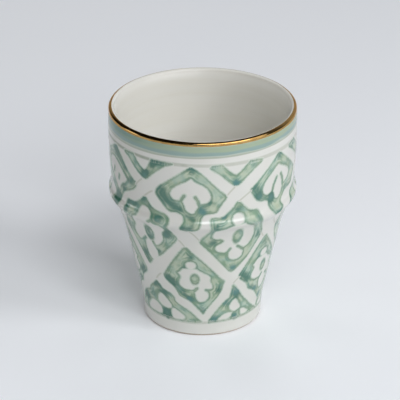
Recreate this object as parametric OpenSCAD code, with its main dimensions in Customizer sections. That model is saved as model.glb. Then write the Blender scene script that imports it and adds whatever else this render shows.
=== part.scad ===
// Hand-painted tea cup in the beldi tea glass shape: a tapered lower wall, a rounded belt,
// a straight neck and a gold-edged lip. A fired clay body carries thin coats of glaze, and the
// painted bands, the trellis panels and the gold lie on the glaze as thin films.

/* [Cup] */
// Height from the table to the top of the lip
cup_h = 100; // [84:1:125]
// Outer diameter of the rim
rim_d = 81; // [68:0.5:96]
// How far the neck lies inside the rim, just above the belt
neck_inset = 0.7; // [0.2:0.1:2]
// How far the belt stands out from the neck at its crest
belt_proud = 1.2; // [0.5:0.1:3]
// How far the crease under the belt lies inside the neck
crease_inset = 1.3; // [1:0.1:3]
// How far the top of the straight taper lies inside the neck
taper_inset = 5.3; // [4:0.1:8]
// How far the foot lies inside the neck
foot_inset = 13.8; // [10:0.1:17]

/* [Heights of the stages] */
// Height of the upright foot
foot_h = 12; // [8:0.5:14]
// Height of the tapered lower wall
taper_h = 34; // [28:0.5:38]
// Height of the hollow curve that leads up to the belt
fillet_h = 11; // [8:0.5:14]
// Height from the crease to the crest of the belt
belt_low_h = 5.3; // [4:0.1:8]
// Height from the crest of the belt to the neck
belt_top_h = 5.2; // [4:0.1:8]

/* [Wall and floor] */
// Thickness of the wall with its coats
wall_t = 3.6; // [3:0.1:5]
// Thickness of the rounded lip
lip_t = 2.3; // [2:0.1:3.4]
// Height of the soft edge inside the lip
lip_round_h = 6; // [4:0.5:9]
// Thickness of the floor with its coat
floor_t = 4.5; // [3.5:0.1:7]
// Radius of the inside corner at the floor
corner_r = 7; // [4:0.5:9]
// Depth of the recess under the floor
recess_h = 1.5; // [1:0.1:2.5]
// Width of the ring that the cup stands on
ring_w = 4; // [3:0.1:6]
// Width of the rounded edge of the foot
foot_edge = 0.7; // [0.4:0.1:1.2]
// Height of the bare clay at the foot
bare_h = 0.9; // [0.8:0.1:2]

/* [Coats] */
// Thickness of the glaze
glaze_t = 0.3; // [0.2:0.05:0.5]
// Thickness of the painted films
paint_t = 0.1; // [0.05:0.05:0.2]
// Thickness of the gold film
gold_t = 0.1; // [0.05:0.05:0.2]
// How far the gold reaches down the outside
gold_h = 2; // [1.4:0.1:3]
// How far the gold reaches in from the outer edge of the lip
gold_w = 0.6; // [0.3:0.1:0.7]

/* [Bands] */
// Height of the painted band under the gold
band_h = 5.8; // [3:0.1:8]
// Height of the white stripe under the band
stripe_h = 2; // [1:0.1:4]
// Height of the thin line that closes the trellis at the top
neck_line_h = 1.4; // [0.6:0.1:2.5]
// Height of the thin line that closes the trellis at the foot
foot_line_h = 1; // [0.6:0.1:2]
// Height of the white foot below that line
white_foot_h = 6.3; // [4:0.1:9]

/* [Trellis] */
// Repeats of the pattern around the cup
repeats = 6; // [5:1:7]
// Angle from the front to the middle of a palmette
palmette_turn = -7; // [-30:1:30]
// Width of the white straps
strap_w = 6; // [4:0.1:8]
// Width of the green border of the triangles at the top
triangle_border = 2.2; // [1.5:0.1:3]
// Green left at the sides and at the points of a palmette's diamond
palmette_borders = [7.7, 4.3];
// Green left at the sides and at the points of a belt flower's diamond
belt_flower_borders = [1.8, 5.3];
// Green left at the sides and at the points of a lower flower's diamond
lower_flower_borders = [1.3, 6.8];
// Green left at the sides and at the point of a half diamond at the foot
foot_flower_borders = [2, 8.7];

/* [Hidden] */
$fn = 180;

// Outward bow of the neck and inward bow of the taper
neck_bow = 0.6;
taper_bow = 0.1;
// Slack by which cuts run past what they cut
overrun = 2;

// Levels of the outer outline
z_foot = foot_h;
z_taper = z_foot + taper_h;
z_crease = z_taper + fillet_h;
z_crest = z_crease + belt_low_h;
z_neck = z_crest + belt_top_h;
lip_r = lip_t / 2;
z_lip = cup_h - lip_r;

// Radii of the outer outline
rim_r = rim_d / 2;
neck_r = rim_r - neck_inset;
crest_r = neck_r + belt_proud - paint_t;
crease_r = neck_r - crease_inset;
taper_r = neck_r - taper_inset;
foot_r = neck_r - foot_inset;
toe_share = 0.12;
toe_r = foot_r + toe_share * (taper_r - foot_r);

// Where the curves are pulled to, as shares of the stretch that each one spans
foot_bend_share = 0.5;
middle_share = 0.5;
fillet_pull_shares = [0.59, 0.38];
belt_low_pull_share = 0.58;
belt_top_pull_shares = [0.42, 0.45];
neck_pull_share = 0.52;
shoulder_pull_shares = [0.45, 0.35, 0.65];
lip_pull_shares = [0.7, 0.25];

// Steps along each curve
few = 4;
many = 6;

function between(a, b, share) = a + (b - a) * share;
function curve2(p, t) = (1 - t) * (1 - t) * p[0] + 2 * t * (1 - t) * p[1] + t * t * p[2];
function curve3(p, t) = (1 - t) * curve2([p[0], p[1], p[2]], t) + t * curve2([p[1], p[2], p[3]], t);
function steps2(p, count) = [for (i = [1 : count]) curve2(p, i / count)];
function steps3(p, count) = [for (i = [1 : count]) curve3(p, i / count)];
function reversed(list) = [for (i = [len(list) - 1 : -1 : 0]) list[i]];

// Corners of the outer outline, each as height and radius
edge_point = [foot_edge, foot_r];
toe_point = [z_foot, toe_r];
taper_point = [z_taper, taper_r];
crease_point = [z_crease, crease_r];
crest_point = [z_crest, crest_r];
neck_point = [z_neck, neck_r];
lip_point = [z_lip, rim_r];

// The glazed outside from the foot to the lip
outer_side = concat(
    [[0, foot_r - foot_edge], edge_point],
    steps2([edge_point, [foot_h * foot_bend_share, foot_r], toe_point], few),
    steps2([toe_point,
        [between(z_foot, z_taper, middle_share), between(toe_r, taper_r, middle_share) - taper_bow],
        taper_point], few),
    steps2([taper_point,
        [between(z_taper, z_crease, fillet_pull_shares[0]),
         between(taper_r, crease_r, fillet_pull_shares[1])],
        crease_point], few),
    steps2([crease_point, [between(z_crease, z_crest, belt_low_pull_share), crest_r], crest_point], many),
    steps3([crest_point,
        [between(z_crest, z_neck, belt_top_pull_shares[0]), crest_r],
        [between(z_crest, z_neck, belt_top_pull_shares[1]), neck_r],
        neck_point], many),
    steps2([neck_point, [between(z_neck, z_lip, neck_pull_share), rim_r + neck_bow], lip_point], many));

function outer_r(z) = lookup(z, outer_side);

// The glazed inside from the floor to the lip, smooth where the belt stands out
z_floor = recess_h + floor_t;
z_corner = z_floor + corner_r;
inner_lip_r = rim_r - lip_t;
inner_neck_r = neck_r - wall_t;
inner_taper_r = taper_r - wall_t;
inner_corner_r = outer_r(z_corner) - wall_t;
z_lip_round = z_lip - lip_round_h;
inner_top_r = outer_r(z_lip_round) - wall_t;
inner_side = concat(
    [[z_floor, inner_corner_r - corner_r]],
    steps2([[z_floor, inner_corner_r - corner_r], [z_floor, inner_corner_r], [z_corner, inner_corner_r]], many),
    [[z_taper, inner_taper_r]],
    steps3([[z_taper, inner_taper_r],
        [between(z_taper, z_neck, shoulder_pull_shares[0]),
         between(inner_taper_r, inner_neck_r, shoulder_pull_shares[1])],
        [between(z_taper, z_neck, shoulder_pull_shares[2]), inner_neck_r],
        [z_neck, inner_neck_r]], many),
    [[z_lip_round, inner_top_r]],
    steps2([[z_lip_round, inner_top_r],
        [between(z_lip_round, z_lip, lip_pull_shares[0]),
         between(inner_top_r, inner_lip_r, lip_pull_shares[1])],
        [z_lip, inner_lip_r]], many));

// Points in the plane that is turned round the axis, as radius and height
lip_centre = [rim_r - lip_r, z_lip];
function lip_arc(radius, from, to) = [for (i = [0 : many * 2])
    lip_centre + radius * [cos(between(from, to, i / many / 2)), sin(between(from, to, i / many / 2))]];
function levels(low, high) = concat([low], [for (p = outer_side) if (p[0] > low && p[0] < high) p[0]], [high]);
function outside(low, high, proud) = [for (z = levels(low, high)) [outer_r(z) + proud, z]];
inner_face = [for (p = inner_side) [p[1], p[0]]];
inner_clay = [for (p = inner_side) [p[1] + glaze_t, p[0] - glaze_t]];
recess_r = foot_r - foot_edge - ring_w;

// Levels of the painted bands and of the trellis between them
z_gold = cup_h - gold_h;
z_band = z_gold - band_h;
z_neck_line = z_band - stripe_h;
z_foot_line = white_foot_h;
trellis_top = z_neck_line - neck_line_h;
trellis_low = z_foot_line + foot_line_h;
trellis_h = trellis_top - trellis_low;

// Rows of the trellis: palmettes, flowers on the belt, flowers below it, half flowers at the foot
row_pitch_share = 0.276;
palmette_drop_share = 0.158;
row_pitch = trellis_h * row_pitch_share;
z_palmette = trellis_top - trellis_h * palmette_drop_share;
z_belt_flower = z_palmette - row_pitch;
z_lower_flower = z_belt_flower - row_pitch;
z_foot_flower = max(z_lower_flower - row_pitch, trellis_low);
turn = 360 / repeats;
half_turn = turn / 2;

// Half a strap's thickness measured upright, and as an angle, where the cup has the radius of that height
function strap_slope(z) = atan(row_pitch / (2 * outer_r(z) * sin(half_turn / 2)));
function strap_rise(z) = strap_w / 2 / cos(strap_slope(z));
function strap_angle(z) = half_turn * strap_rise(z) / row_pitch;
function panel_half(z) = row_pitch - strap_rise(z);
function panel_angle(z) = half_turn - strap_angle(z);
function on_wall(angle, z) = [outer_r(z) * sin(angle), z];

// Petals as shares of half the flower's width and height: across, up and radius
belt_petal_shares = [[0, 0.76, 0.25], [-0.5, 0.2, 0.35], [0.5, 0.2, 0.35], [-0.4, -0.3, 0.3],
    [0.4, -0.3, 0.3], [0, -0.7, 0.3], [0, 0, 0.45]];
lower_petal_shares = [[-0.1, 0.72, 0.26], [-0.42, 0.18, 0.31], [0.42, 0.18, 0.31], [-0.38, -0.24, 0.29],
    [0.38, -0.24, 0.29], [0.12, -0.72, 0.32], [0, 0, 0.36]];
flower_eye_share = 0.2;
// Half flower at the foot, as shares of half its width and of its height above the line
foot_petal_shares = [[0, 0.68, 0.28], [-0.58, 0.2, 0.26], [0.58, 0.2, 0.26], [0, 0.2, 0.42]];
foot_eye_shares = [0.2, 0.17];
foot_corner_share = 0.87;
// Palmette, as shares of half its width and height
spade_shares = [[0, 0.82], [0.8, 0.42], [0.34, -0.5], [-0.34, -0.5], [-0.8, 0.42]];
spade_lobe_shares = [0.62, 0.1, 0.42];
tongue_shares = [0.34, -0.5];

// A film on the outside between two heights, as a ring or as a stretch to both sides of the front
module film(low, high, reach = 180) {
    rotate([0, 0, -90 - reach])
        rotate_extrude(angle = 2 * reach)
            polygon(concat(outside(low, high, 0), reversed(outside(low, high, paint_t))));
}

// Copies of a flat shape, pressed onto the wall as film at each repeat
module around(start, low, high) {
    root = outer_r(low) - wall_t;
    for (i = [0 : repeats - 1])
        rotate([0, 0, start + i * turn])
            intersection() {
                film(low, high, half_turn);
                translate([0, -root, 0])
                    rotate([90, 0, 0])
                        linear_extrude(max(crest_r, rim_r + neck_bow) - root + overrun)
                            children();
            }
}

module diamond(z, up, down) {
    polygon([[0, z + up], on_wall(panel_angle(z), z), [0, z - down], on_wall(-panel_angle(z), z)]);
}

// Half the width and height that the borders leave for a motif
function motif_size(wide, high, borders) = [wide - borders[0], high - borders[1]];
function round_size(size) = sqrt(size[0] * size[1]);
function placed(point, size) = [point[0] * size[0], point[1] * size[1]];

module petals(z, size, shares) {
    for (p = shares)
        translate(placed(p, size) + [0, z])
            circle(p[2] * round_size(size));
}

// A green diamond with a white flower left out of it and a green eye in the flower
module flower_panels(z, borders, shares, start) {
    half = panel_half(z);
    size = motif_size(on_wall(panel_angle(z), z)[0], half, borders);
    around(start, z - half, z + half) {
        difference() {
            diamond(z, half, half);
            petals(z, size, shares);
        }
        translate([0, z])
            circle(flower_eye_share * round_size(size));
    }
}

module clay_body() {
    color("tan")
        rotate_extrude()
            polygon(concat(
                [[0, recess_h], [recess_r - recess_h, recess_h], [recess_r, 0]],
                outside(0, z_lip, -glaze_t),
                lip_arc(lip_r - glaze_t, 0, 180),
                reversed(inner_clay),
                [[0, z_floor - glaze_t]]));
}

module inner_glaze() {
    color("whitesmoke")
        rotate_extrude()
            polygon(concat(
                [[0, z_floor]], inner_face, lip_arc(lip_r, 180, 90),
                lip_arc(lip_r - glaze_t, 90, 180), reversed(inner_clay), [[0, z_floor - glaze_t]]));
}

module outer_glaze() {
    color("white")
        rotate_extrude()
            polygon(concat(
                outside(bare_h, z_lip, 0), lip_arc(lip_r, 0, 90),
                lip_arc(lip_r - glaze_t, 90, 0), reversed(outside(bare_h, z_lip, -glaze_t))));
}

module base_glaze() {
    color("white")
        translate([0, 0, recess_h - glaze_t])
            cylinder(h = glaze_t, r = recess_r - recess_h);
}

module gold_rim() {
    gold_end = acos(1 - gold_w / lip_r);
    color("goldenrod")
        rotate_extrude()
            polygon(concat(
                outside(z_gold, z_lip, gold_t), lip_arc(lip_r + gold_t, 0, gold_end),
                lip_arc(lip_r, gold_end, 0), reversed(outside(z_gold, z_lip, 0))));
}

module rim_band() {
    color("cadetblue")
        film(z_band, z_gold);
}

module neck_line() {
    color("darkseagreen")
        film(trellis_top, z_neck_line);
}

// Half diamonds that hang from the line, each with a white triangle left out of it
module top_triangles() {
    apex = z_palmette + strap_rise(z_palmette);
    reach = half_turn * (trellis_top - apex) / row_pitch;
    corner = on_wall(reach, trellis_top);
    white_apex = apex + triangle_border / sin(atan(corner[0] / (trellis_top - apex)));
    white_half = corner[0] * (trellis_top - white_apex) / (trellis_top - apex);
    color("mediumseagreen")
        around(palmette_turn + half_turn, apex, trellis_top)
            difference() {
                polygon([[0, apex], corner, [-corner[0], trellis_top]]);
                polygon([[0, white_apex], [white_half, trellis_top], [-white_half, trellis_top]]);
            }
}

module palmette_panels() {
    up = trellis_top - z_palmette;
    down = panel_half(z_palmette);
    size = motif_size(on_wall(panel_angle(z_palmette), z_palmette)[0], up, palmette_borders);
    color("seagreen")
        around(palmette_turn, z_palmette - down, trellis_top)
            difference() {
                diamond(z_palmette, up, down);
                translate([0, z_palmette]) {
                    polygon([for (p = spade_shares) placed(p, size)]);
                    for (side = [-1, 1])
                        translate(placed([side * spade_lobe_shares[0], spade_lobe_shares[1]], size))
                            circle(spade_lobe_shares[2] * round_size(size));
                    translate(placed([0, tongue_shares[1]], size))
                        circle(tongue_shares[0] * round_size(size));
                }
            }
}

module belt_flower_panels() {
    color("mediumaquamarine")
        flower_panels(z_belt_flower, belt_flower_borders, belt_petal_shares, palmette_turn + half_turn);
}

module lower_flower_panels() {
    color("darkseagreen")
        flower_panels(z_lower_flower, lower_flower_borders, lower_petal_shares, palmette_turn);
}

// Half diamonds that stand on the foot line
module foot_panels() {
    top = z_foot_flower + panel_half(z_foot_flower);
    corner = on_wall(half_turn * foot_corner_share, trellis_low);
    size = motif_size(corner[0], top - trellis_low, foot_flower_borders);
    color("seagreen")
        around(palmette_turn + half_turn, trellis_low, top) {
            difference() {
                polygon([[0, top], corner, [-corner[0], trellis_low]]);
                petals(trellis_low, size, foot_petal_shares);
            }
            translate(placed([0, foot_eye_shares[0]], size) + [0, trellis_low])
                circle(foot_eye_shares[1] * round_size(size));
        }
}

module foot_line() {
    color("darkseagreen")
        film(z_foot_line, trellis_low);
}

clay_body();
inner_glaze();
outer_glaze();
base_glaze();
gold_rim();
rim_band();
neck_line();
top_triangles();
palmette_panels();
belt_flower_panels();
lower_flower_panels();
foot_panels();
foot_line();
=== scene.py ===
import math

import bmesh
import bpy
import numpy as np
from mathutils import Matrix, Vector


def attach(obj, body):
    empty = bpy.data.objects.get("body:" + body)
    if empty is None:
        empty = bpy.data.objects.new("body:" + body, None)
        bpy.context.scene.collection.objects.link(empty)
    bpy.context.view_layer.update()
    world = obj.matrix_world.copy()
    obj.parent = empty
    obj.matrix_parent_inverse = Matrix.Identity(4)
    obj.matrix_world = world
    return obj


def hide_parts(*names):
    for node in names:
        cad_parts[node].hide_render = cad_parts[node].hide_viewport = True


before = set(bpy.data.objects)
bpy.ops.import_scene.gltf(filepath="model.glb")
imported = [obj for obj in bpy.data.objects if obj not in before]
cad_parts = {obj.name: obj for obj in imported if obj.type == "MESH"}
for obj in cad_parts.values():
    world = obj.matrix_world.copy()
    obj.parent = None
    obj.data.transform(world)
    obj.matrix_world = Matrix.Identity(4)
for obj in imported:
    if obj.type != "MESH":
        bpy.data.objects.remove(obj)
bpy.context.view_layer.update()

mm = 0.001
fullTurn = 360.0  # degrees
mergeReach = 1e-7  # m
sharpAngle = 38.0  # degrees between two faces from which their edge shows

# Outline of the cup, each corner as height and radius in mm
cupShape = {
    "footEdge": (0.7, 26.0), "footPull": (6.0, 26.0), "toe": (12.0, 27.02),
    "taperPull": (29.0, 30.66), "taperTop": (46.0, 34.5),
    "filletPull": (52.49, 36.02), "crease": (57.0, 38.5),
    "beltUnder": (59.3, 40.25), "beltCorner": (60.2, 40.9), "beltLow": (61.0, 40.9), "crest": (62.1, 40.9),
    "crestPull": (63.1, 40.9), "neckPull": (63.0, 39.8), "neck": (66.3, 39.8),
    "neckBow": (83.3, 41.1), "lip": (98.8, 40.5),
    "lipRadius": 1.15, "glaze": 0.3, "spinSteps": 224,
}
# Stretches of the outline: the corners that each one runs through or is pulled by, and its steps
cupStretches = [
    (["footEdge", "footPull", "toe"], 6),
    (["toe", "taperPull", "taperTop"], 10),
    (["taperTop", "filletPull", "crease"], 10),
    (["crease", "beltUnder"], 4),
    (["beltUnder", "beltCorner", "beltLow"], 8),
    (["beltLow", "crest"], 2),
    (["crest", "crestPull", "neckPull", "neck"], 14),
    (["neck", "neckBow", "lip"], 12),
]


def bend(corners, steps):
    # points along a curve that the corners pull, without its first point
    shares = np.linspace(0, 1, steps + 1)[1:, None]
    rows = [np.array(corner)[None, :] for corner in corners]
    while len(rows) > 1:
        rows = [a + (b - a) * shares for a, b in zip(rows, rows[1:])]
    return rows[0]


def outlineOfCup():
    rows = [[cupShape["footEdge"]]]
    for names, steps in cupStretches:
        rows.append(bend([cupShape[name] for name in names], steps))
    return np.vstack(rows)


outerLine = outlineOfCup()


def cupRadius(heights):
    return np.interp(heights, outerLine[:, 0], outerLine[:, 1])


def aroundAxis(turns, radius, heights):
    # places by degrees off the front, radius and height
    angle = np.radians(turns)
    return np.column_stack((radius * np.sin(angle), -radius * np.cos(angle), heights))


def onCup(turns, heights):
    # places on the outside in m
    return aroundAxis(turns, cupRadius(heights), heights) * mm


def arcAround(centre, radius, start, end, steps=12):
    # radius and height along an arc, with degrees counted from the outside up
    angles = np.radians(np.linspace(start, end, steps + 1))
    return np.column_stack((centre[0] + radius * np.cos(angles), centre[1] + radius * np.sin(angles)))


# Tools for the finishes
def plug(tree, socket, value):
    if isinstance(value, bpy.types.NodeSocket):
        tree.links.new(value, socket)
    else:
        socket.default_value = value


def addNode(tree, kind, inputs, **settings):
    made = tree.nodes.new("ShaderNode" + kind)
    for key, value in settings.items():
        setattr(made, key, value)
    for key, value in inputs.items():
        plug(tree, made.inputs[key], value)
    return made


def mixColour(tree, share, first, second):
    return addNode(tree, "Mix", {0: share, 6: first, 7: second}, data_type="RGBA").outputs[2]


def combine(tree, kind, first, second):
    return addNode(tree, "Math", {0: first, 1: second}, operation=kind).outputs[0]


def scaled(tree, value, size):
    return combine(tree, "MULTIPLY", value, size)


def combinePlaces(tree, kind, first, second):
    return addNode(tree, "VectorMath", {0: first, 1: second}, operation=kind).outputs[0]


def fade(tree, value, low=0.0, high=1.0, start=0.0, end=1.0):
    made = addNode(tree, "MapRange", {"Value": value, "From Min": low, "From Max": high, "To Min": start,
                                      "To Max": end}, interpolation_type="SMOOTHSTEP")
    return made.outputs[0]


def speckle(tree, place, scale, detail):
    return addNode(tree, "TexNoise", {"Vector": place, "Scale": scale, "Detail": detail}).outputs[0]


def uneven(tree, place, scale, detail):
    # a speckle that swings about zero
    return combine(tree, "SUBTRACT", speckle(tree, place, scale, detail), 0.5)


def relief(tree, height, strength, distance):
    return addNode(tree, "Bump", {"Height": height, "Strength": strength, "Distance": distance}).outputs[0]


def newGroup(name, takes, gives):
    group = bpy.data.node_groups.new(name, "ShaderNodeTree")
    for side, sockets in (("INPUT", takes), ("OUTPUT", gives)):
        for label, kind in sockets:
            group.interface.new_socket(label, in_out=side, socket_type="NodeSocket" + kind)
    return group, group.nodes.new("NodeGroupInput").outputs, group.nodes.new("NodeGroupOutput").inputs


def newFinish(name):
    finish = bpy.data.materials.new(name)
    finish.use_nodes = True
    tree = finish.node_tree
    place = tree.nodes.new("ShaderNodeTexCoord").outputs["Object"]
    return finish, tree, tree.nodes["Principled BSDF"].inputs, place


def brushParts(tree):
    # what the brush left: mm inside the edge, then the two values that each kind of paint has of its own
    brush = addNode(tree, "Attribute", {}, attribute_name="brush").outputs["Vector"]
    return addNode(tree, "SeparateXYZ", {0: brush}).outputs


# In the looks, speckles are a scale and a detail, bumps a strength and a distance, and a fade is the low and
# the high value, followed by what they turn into where that isn't 0 and 1
glazeLook = {
    "white": (0.693, 0.69, 0.637, 1), "cream": (0.668, 0.662, 0.6, 1), "roughness": 0.12, "specular": 0.7,
    "clouds": (45.0, 45.0, 45.0), "cloudDetail": 3.0, "cloudFade": (0.35, 0.7),
    "waves": (90.0, 2.0), "waveFade": (0.3, 0.7, -0.03, 0.05), "pits": (900.0, 2.0), "pitDepth": 0.06,
    "bump": (0.12, 0.0009),
}
# inside, the clouds are drawn out into faint rings, and the white and cream are painted brighter and warmer
# than outside: painted light on the inside of the cup, and painted warm light bounced within it
innerGlazeAndLightLook = dict(glazeLook, white=(0.756, 0.743, 0.681, 1), cream=(0.739, 0.721, 0.65, 1),
                 clouds=(14.0, 14.0, 330.0))


def glazeSkinGroup():
    # the faint waves, pinholes and changes of gloss that every glazed surface has
    group, start, end = newGroup("glazeSkin", [("Place", "Vector"), ("Gloss", "Float")],
                                 [("Roughness", "Float"), ("Normal", "Vector")])
    waves = speckle(group, start["Place"], *glazeLook["waves"])
    pits = speckle(group, start["Place"], *glazeLook["pits"])
    height = combine(group, "ADD", waves, scaled(group, pits, glazeLook["pitDepth"]))
    plug(group, end["Normal"], relief(group, height, *glazeLook["bump"]))
    roughness = combine(group, "ADD", start["Gloss"], fade(group, waves, *glazeLook["waveFade"]))
    plug(group, end["Roughness"], roughness)
    return group


glazeSkin = glazeSkinGroup()


def glazed(tree, shader, place, colour):
    inputs = {"Place": place, "Gloss": glazeLook["roughness"]}
    skin = addNode(tree, "Group", inputs, node_tree=glazeSkin).outputs
    plug(tree, shader["Base Color"], colour)
    plug(tree, shader["Roughness"], skin["Roughness"])
    plug(tree, shader["Normal"], skin["Normal"])
    shader["Specular IOR Level"].default_value = glazeLook["specular"]


def glazeFinish(name, look):
    finish, tree, shader, place = newFinish(name)
    drawnOut = combinePlaces(tree, "MULTIPLY", place, look["clouds"])
    cloud = fade(tree, speckle(tree, drawnOut, 1.0, look["cloudDetail"]), *look["cloudFade"])
    glazed(tree, shader, place, mixColour(tree, cloud, look["white"], look["cream"]))
    return finish


clayLook = {
    "pale": (0.56, 0.47, 0.38, 1), "dark": (0.37, 0.29, 0.22, 1), "roughness": 0.85,
    "grain": (1400.0, 5.0), "grainFade": (0.35, 0.7), "bump": (0.35, 0.0004),
}


def clayFinish():
    finish, tree, shader, place = newFinish("bareClay")
    grain = speckle(tree, place, *clayLook["grain"])
    colour = mixColour(tree, fade(tree, grain, *clayLook["grainFade"]), clayLook["pale"], clayLook["dark"])
    plug(tree, shader["Base Color"], colour)
    plug(tree, shader["Normal"], relief(tree, grain, *clayLook["bump"]))
    shader["Roughness"].default_value = clayLook["roughness"]
    return finish


goldLook = {
    "bright": (0.50, 0.305, 0.09, 1), "worn": (0.39, 0.22, 0.05, 1), "thin": (0.34, 0.23, 0.09, 1),
    "grazing": (0.9, 0.6, 0.28, 1), "coat": 0.7, "brushing": (260.0, 4.0), "wornFade": (0.4, 0.75),
    "ragged": 0.3, "coverFade": (0.1, 0.3), "roughFade": (0.3, 0.8, 0.12, 0.28), "bump": (0.10, 0.0006),
}


def goldFinish():
    look = goldLook
    finish, tree, shader, place = newFinish("goldLustre")
    edge = brushParts(tree)[0]
    brushing = speckle(tree, place, *look["brushing"])
    colour = mixColour(tree, fade(tree, brushing, *look["wornFade"]), look["bright"], look["worn"])
    # the lustre wears thin towards its edges
    ragged = combine(tree, "ADD", edge, scaled(tree, brushing, look["ragged"]))
    cover = fade(tree, ragged, *look["coverFade"])
    plug(tree, shader["Base Color"], mixColour(tree, cover, look["thin"], colour))
    plug(tree, shader["Roughness"], fade(tree, brushing, *look["roughFade"]))
    plug(tree, shader["Normal"], relief(tree, brushing, *look["bump"]))
    plug(tree, shader["Metallic"], cover)
    shader["Specular Tint"].default_value = look["grazing"]
    shader["Coat Weight"].default_value = look["coat"]
    return finish


paintLook = {
    "wash": (0.475, 0.535, 0.395, 1), "coolWash": (0.435, 0.535, 0.42, 1),
    "body": (0.192, 0.312, 0.198, 1), "coolBody": (0.165, 0.312, 0.242, 1),
    "line": (0.148, 0.24, 0.155, 1), "haze": (0.61, 0.66, 0.57, 1),
    "pool": (0.041, 0.155, 0.107, 1), "blue": (0.095, 0.25, 0.27, 1),
    "streaks": (130.0, 130.0, 130.0), "streakDetail": 2.0, "quick": 0.55, "clouds": (230.0, 2.0),
    "uneven": 0.7, "fringe": (1300.0, 3.0), "fringeSize": 0.5, "hues": (190.0, 3.0), "hueFade": (0.36, 0.64),
    "middleFrom": 1.4, "middlePale": 0.07, "bodyFade": (-0.24, 0.14), "paleFade": (-0.8, -0.05, 0.8, 0.0),
    "press": (130.0, 3.0), "pressFade": (0.3, 0.7, 0.35, 0.95), "lineFade": (0.5, 1.7, 1.0, 0.0),
    "poolFade": (0.1, 1.0, 0.0, 0.92), "blueUneven": 0.8, "blueFade": (0.15, 0.9, 0.0, 0.5),
}


def paintFinish():
    look = paintLook
    finish, tree, shader, place = newFinish("greenWash")
    # the two values of this paint are how far the colour pooled and how blue it is
    edge, pool, blue = brushParts(tree)
    # streaks that run along the stroke: slow changes along its edge, quick ones across it
    slow = combinePlaces(tree, "MULTIPLY", place, look["streaks"])
    strokePlace = combinePlaces(tree, "ADD", slow, scaled(tree, edge, look["quick"]))
    streak = uneven(tree, strokePlace, 1.0, look["streakDetail"])
    cloud = uneven(tree, place, *look["clouds"])
    fringe = scaled(tree, uneven(tree, place, *look["fringe"]), look["fringeSize"])
    edgeNow = combine(tree, "ADD", edge, fringe)
    both = scaled(tree, combine(tree, "ADD", streak, cloud), look["uneven"])
    poolNow = combine(tree, "ADD", pool, both)
    blueNow = combine(tree, "ADD", blue, scaled(tree, both, look["blueUneven"]))
    # the green leans to olive in some places and to teal in others
    hue = fade(tree, speckle(tree, place, *look["hues"]), *look["hueFade"])
    wash = mixColour(tree, hue, look["wash"], look["coolWash"])
    body = mixColour(tree, hue, look["body"], look["coolBody"])
    # the middle of a broad stroke dries paler
    middle = scaled(tree, combine(tree, "SUBTRACT", edge, look["middleFrom"]), look["middlePale"])
    depth = combine(tree, "SUBTRACT", both, middle)
    colour = mixColour(tree, fade(tree, depth, *look["bodyFade"]), wash, body)
    colour = mixColour(tree, fade(tree, pool, *look["paleFade"]), colour, wash)
    # the colour gathers along the edges, more in some places than in others
    press = fade(tree, speckle(tree, place, *look["press"]), *look["pressFade"])
    gathered = fade(tree, combine(tree, "ADD", edgeNow, cloud), *look["lineFade"])
    colour = mixColour(tree, combine(tree, "MULTIPLY", gathered, press), colour, look["line"])
    colour = mixColour(tree, fade(tree, poolNow, *look["poolFade"]), colour, look["pool"])
    colour = mixColour(tree, fade(tree, blueNow, *look["blueFade"]), colour, look["blue"])
    colour = mixColour(tree, fade(tree, edgeNow), look["haze"], colour)
    glazed(tree, shader, place, colour)
    return finish


bandLook = {
    "top": (0.33, 0.41, 0.285, 1), "middle": (0.258, 0.365, 0.328, 1), "gap": (0.43, 0.49, 0.415, 1),
    "low": (0.39, 0.43, 0.34, 1), "deep": (0.15, 0.27, 0.225, 1), "marks": (70.0, 70.0, 900.0),
    "markDetail": 3.0, "markSize": 0.3, "deepFade": (0.3, 0.75), "topFade": (0.42, 0.60),
    "gapFade": (0.2, 0.3), "lowFade": (0.1, 0.19), "edgeFade": (0.0, 0.6),
}


def bandFinish():
    look = bandLook
    finish, tree, shader, place = newFinish("bandWash")
    # the two values of a ring are the share of its height and how deep its colour is
    edge, share, dark = brushParts(tree)
    # brush marks that run round the cup
    marks = uneven(tree, combinePlaces(tree, "MULTIPLY", place, look["marks"]), 1.0, look["markDetail"])
    shareNow = combine(tree, "ADD", share, scaled(tree, marks, look["markSize"]))
    darkNow = combine(tree, "MULTIPLY", dark, fade(tree, shareNow, *look["deepFade"]))
    colour = mixColour(tree, fade(tree, shareNow, *look["topFade"]), look["middle"], look["top"])
    colour = mixColour(tree, darkNow, colour, look["deep"])
    colour = mixColour(tree, fade(tree, shareNow, *look["gapFade"]), look["gap"], colour)
    colour = mixColour(tree, fade(tree, shareNow, *look["lowFade"]), look["low"], colour)
    colour = mixColour(tree, fade(tree, edge, *look["edgeFade"]), glazeLook["white"], colour)
    glazed(tree, shader, place, colour)
    return finish


lineLook = {"pale": (0.54, 0.55, 0.475, 1), "deep": (0.33, 0.37, 0.285, 1), "clouds": (300.0, 4.0),
            "edgeFade": (0.0, 0.9)}
strapLook = dict(lineLook, pale=(0.52, 0.53, 0.44, 1), deep=(0.38, 0.40, 0.31, 1), edgeFade=(0.0, 0.75))


def thinLineFinish(name, look):
    finish, tree, shader, place = newFinish(name)
    parts = brushParts(tree)
    edge, dark = parts[0], parts[2]
    darkNow = fade(tree, combine(tree, "ADD", dark, uneven(tree, place, *look["clouds"])))
    colour = mixColour(tree, darkNow, look["pale"], look["deep"])
    colour = mixColour(tree, fade(tree, edge, *look["edgeFade"]), glazeLook["white"], colour)
    glazed(tree, shader, place, colour)
    return finish


whiteGlaze = glazeFinish("whiteGlaze", glazeLook)
# the inside finish holds painted light: its glaze is brighter and warmer than the outside's
innerWhiteAndPaintedLight = glazeFinish("innerWhiteAndPaintedLight", innerGlazeAndLightLook)
bareClay = clayFinish()
goldLustre = goldFinish()
greenWash = paintFinish()
bandWash = bandFinish()
paleLine = thinLineFinish("paleLine", lineLook)
strapLine = thinLineFinish("strapLine", strapLook)
print("finishes made:", len(bpy.data.materials))


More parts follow.
